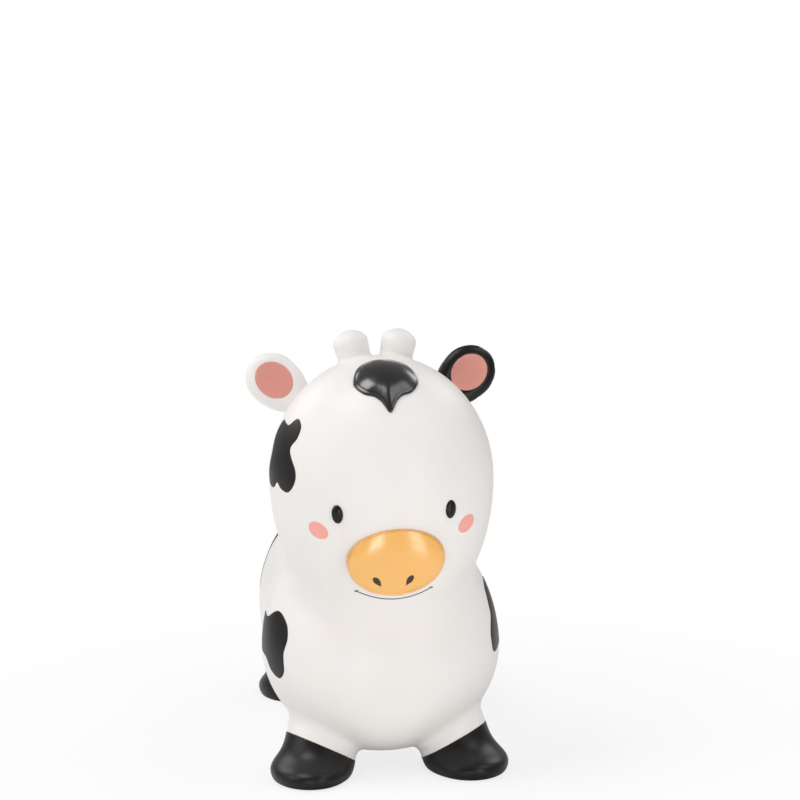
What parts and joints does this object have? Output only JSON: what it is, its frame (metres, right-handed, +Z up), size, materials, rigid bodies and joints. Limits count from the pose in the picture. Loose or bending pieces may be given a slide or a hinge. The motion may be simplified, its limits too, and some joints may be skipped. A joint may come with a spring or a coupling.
{
  "type": "bouncy ride on animal",
  "caption": "Inflatable ride-on cow that a small child sits astride and bounces on, holding the ears; painted patches, splayed hooves and a push-in air valve.",
  "frame": {"origin": "on the ground, under the centre of the bounding box", "axes": "-Y the way the cow looks, +X to the cow's left, +Z up"},
  "size_m": [0.2417, 0.4954, 0.4209],
  "materials": {
    "white_pvc": "satin flexible vinyl, moulded",
    "black_paint": "satin sprayed coat",
    "gloss_black_paint": "glossy sprayed coat",
    "orange_paint": "smooth satin sprayed coat",
    "pink_paint": "matt sprayed coat",
    "brown_paint": "matt painted line",
    "clear_pvc": "cloudy clear flexible vinyl"
  },
  "bodies": {
    "cow": {"body_skin": "white_pvc", "valve_seat": "clear_pvc", "hoof_front_right": "black_paint", "hoof_front_left": "black_paint", "hoof_rear_right": "black_paint", "hoof_rear_left": "black_paint", "patch_brow_right": "black_paint", "patch_nape_left": "black_paint", "patch_flank_right": "black_paint", "patch_shoulder_left": "black_paint", "patch_haunch_right": "black_paint", "patch_haunch_left": "black_paint", "ear_lining_right": "pink_paint", "ear_lining_left": "pink_paint", "ear_coat_left": "black_paint", "eye_right": "black_paint", "eye_left": "black_paint", "cheek_right": "pink_paint", "cheek_left": "pink_paint", "muzzle": "orange_paint", "nostril_right": "brown_paint", "nostril_left": "brown_paint", "mouth_line": "brown_paint", "forelock": "gloss_black_paint", "tail_tuft": "black_paint"},
    "plug": {"valve_plug": "clear_pvc"}
  },
  "joints": [
    {"name": "valve_pull", "type": "slide", "parent": "cow", "child": "plug", "axis": [0, 0.9135, -0.4067], "range_m": [0, 0.024]}
  ]
}
